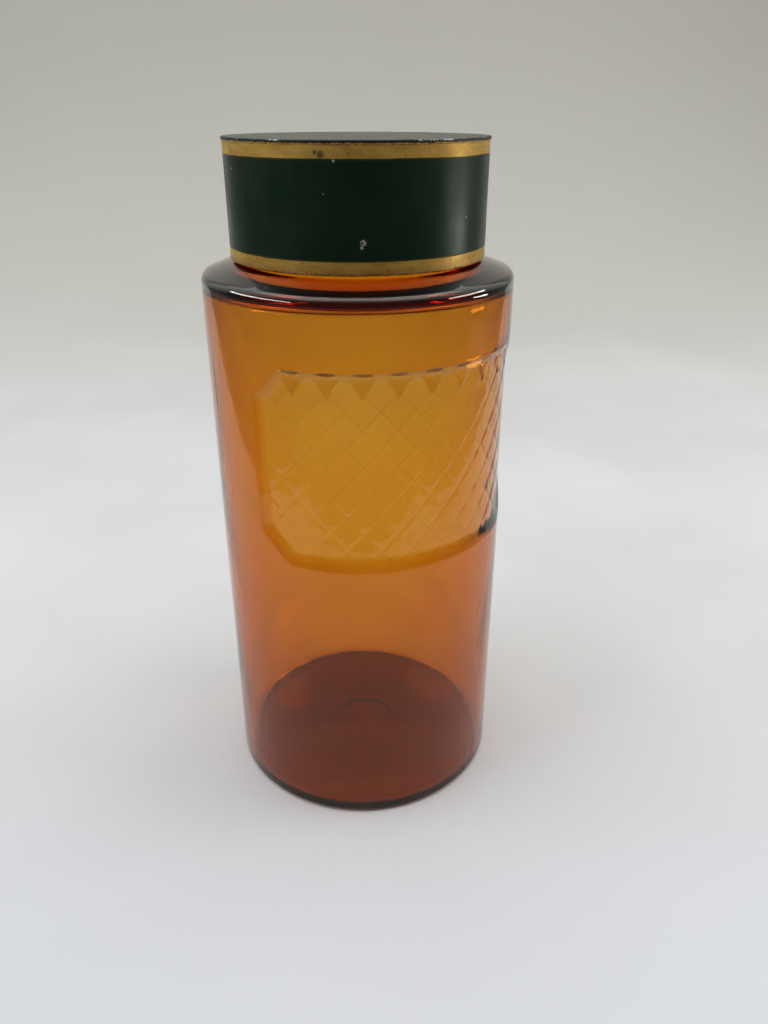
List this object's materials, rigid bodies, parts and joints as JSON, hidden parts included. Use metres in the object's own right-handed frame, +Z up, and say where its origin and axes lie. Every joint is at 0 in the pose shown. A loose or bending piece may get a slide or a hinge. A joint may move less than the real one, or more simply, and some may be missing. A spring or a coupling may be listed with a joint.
{
  "type": "lidded glass canister",
  "caption": "Tall round amber glass storage jar with a panelled label recess and a slip-on painted tinplate lid that lifts off and turns.",
  "frame": {"origin": "centre of the foot ring, on the surface that the jar stands on", "axes": "+Z up along the jar's axis; the middle of the label recess faces -Y; the lid's side seam is at +Y"},
  "size_m": [0.115, 0.115, 0.2605],
  "materials": {
    "amber_glass": "clear amber blown glass, polished",
    "lid_paint": "dark green japanned tinplate with two gold bands, worn at the edges",
    "solder": "dull tin-lead solder",
    "cork": "fine-grained cork"
  },
  "bodies": {
    "jar": {"glass_jar": "amber_glass"},
    "lid_wad": {"lid_liner": "cork"},
    "lid": {"lid_band": "lid_paint", "lid_disc": "lid_paint", "lid_top_solder": "solder", "lid_seam_solder": "solder"}
  },
  "joints": [
    {"name": "lid_lift", "type": "slide", "parent": "jar", "child": "lid_wad", "axis": [0, 0, 1], "range_m": [0, 0.07]},
    {"name": "lid_turn", "type": "hinge", "parent": "lid_wad", "child": "lid", "pos_m": [0, 0, 0.2605], "axis": [0, 0, 1], "continuous": true}
  ]
}
